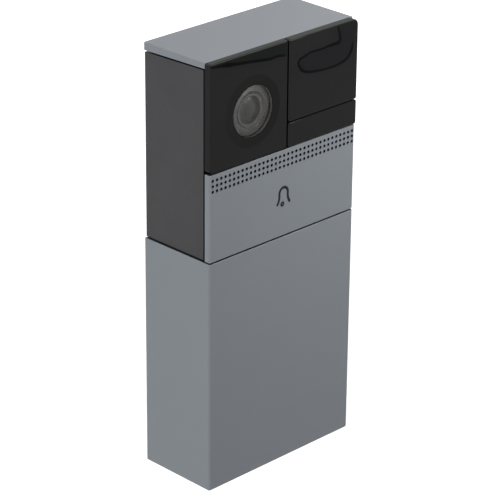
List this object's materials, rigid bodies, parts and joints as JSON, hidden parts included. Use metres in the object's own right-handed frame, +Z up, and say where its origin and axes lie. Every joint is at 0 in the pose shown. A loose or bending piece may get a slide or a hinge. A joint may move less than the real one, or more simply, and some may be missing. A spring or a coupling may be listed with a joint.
{
  "type": "video door phone",
  "caption": "Upright box-shaped battery video door phone: glossy black camera and sensor panels, grey call-button plate with sound holes, slide-off lower cover, wall bracket.",
  "frame": {"origin": "middle of the underside, on the surface that the phone stands on", "axes": "+Z up, +X to the right seen from the front, +Y back towards the wall; the camera faces -Y"},
  "size_m": [0.062, 0.0288, 0.14],
  "materials": {
    "rear_housing": "matte",
    "top_cap": "matte",
    "lower_cover": "matte",
    "cover_screw": "satin",
    "screw_insert": "satin",
    "front_chassis": "matte",
    "chassis_gasket": "matte",
    "chassis_screws": "satin",
    "camera_fascia": "gloss",
    "infrared_window": "gloss",
    "motion_sensor_lens": "gloss",
    "call_button": "matte",
    "bell_icon": "satin",
    "button_clips": "satin",
    "lens_window": "polished",
    "camera_bezel": "satin",
    "lens_barrel": "satin",
    "lens_elements": "polished",
    "lens_holder": "matte",
    "image_sensor": "gloss",
    "camera_board": "satin",
    "camera_ribbon": "satin",
    "sensor_board": "satin",
    "infrared_leds": "gloss",
    "light_sensor": "gloss",
    "motion_sensor": "satin",
    "main_board": "satin",
    "board_screws": "satin",
    "main_board_chips": "matte",
    "shield_can": "satin",
    "wifi_antenna": "satin",
    "speaker_gasket": "matte",
    "speaker_frame": "matte",
    "speaker_cone": "matte",
    "speaker_magnet": "satin",
    "microphone": "satin",
    "microphone_boot": "matte",
    "switch_board": "satin",
    "call_switch": "matte",
    "switch_plunger": "matte",
    "service_board": "satin",
    "usb_socket": "satin",
    "reset_switch": "matte",
    "reset_plunger": "matte",
    "reset_button": "satin",
    "battery_holder": "matte",
    "battery_cells": "satin",
    "battery_bridge": "satin",
    "battery_contacts": "satin",
    "wall_bracket": "matte"
  },
  "bodies": {
    "housing": {"rear_housing": "rear_housing", "top_cap": "top_cap", "screw_insert": "screw_insert", "front_chassis": "front_chassis", "chassis_gasket": "chassis_gasket", "chassis_screws": "chassis_screws", "camera_fascia": "camera_fascia", "infrared_window": "infrared_window", "motion_sensor_lens": "motion_sensor_lens", "lens_window": "lens_window", "camera_bezel": "camera_bezel", "lens_barrel": "lens_barrel", "lens_elements": "lens_elements", "lens_holder": "lens_holder", "image_sensor": "image_sensor", "camera_board": "camera_board", "camera_ribbon": "camera_ribbon", "sensor_board": "sensor_board", "infrared_leds": "infrared_leds", "light_sensor": "light_sensor", "motion_sensor": "motion_sensor", "main_board": "main_board", "board_screws": "board_screws", "main_board_chips": "main_board_chips", "shield_can": "shield_can", "wifi_antenna": "wifi_antenna", "speaker_gasket": "speaker_gasket", "speaker_frame": "speaker_frame", "speaker_cone": "speaker_cone", "speaker_magnet": "speaker_magnet", "microphone": "microphone", "microphone_boot": "microphone_boot", "switch_board": "switch_board", "call_switch": "call_switch", "service_board": "service_board", "usb_socket": "usb_socket", "reset_switch": "reset_switch", "battery_holder": "battery_holder", "battery_cells": "battery_cells", "battery_bridge": "battery_bridge", "battery_contacts": "battery_contacts"},
    "cover": {"lower_cover": "lower_cover", "cover_screw": "cover_screw"},
    "call_plate": {"call_button": "call_button", "bell_icon": "bell_icon", "button_clips": "button_clips"},
    "call_plunger": {"switch_plunger": "switch_plunger"},
    "reset_key": {"reset_button": "reset_button", "reset_plunger": "reset_plunger"},
    "bracket": {"wall_bracket": "wall_bracket"}
  },
  "joints": [
    {"name": "lower_cover_slide", "type": "slide", "parent": "housing", "child": "cover", "axis": [0, 0, -1], "range_m": [0, 0.08]},
    {"name": "call_button_press", "type": "slide", "parent": "housing", "child": "call_plate", "axis": [0, 1, 0], "range_m": [0, 0.0004], "stiffness_N_per_m": 5000, "springref_m": -0.0001},
    {"name": "switch_plunger_press", "type": "slide", "parent": "housing", "child": "call_plunger", "axis": [0, 1, 0], "range_m": [0, 0.0004]},
    {"name": "reset_button_press", "type": "slide", "parent": "housing", "child": "reset_key", "axis": [0, 1, 0], "range_m": [0, 0.0003], "stiffness_N_per_m": 4000, "springref_m": -0.0001},
    {"name": "bracket_unhook", "type": "slide", "parent": "housing", "child": "bracket", "axis": [0, 0, -1], "range_m": [0, 0.007]}
  ],
  "couplings": [
    {"joint": "switch_plunger_press", "follows": "call_button_press", "ratio": 1}
  ]
}
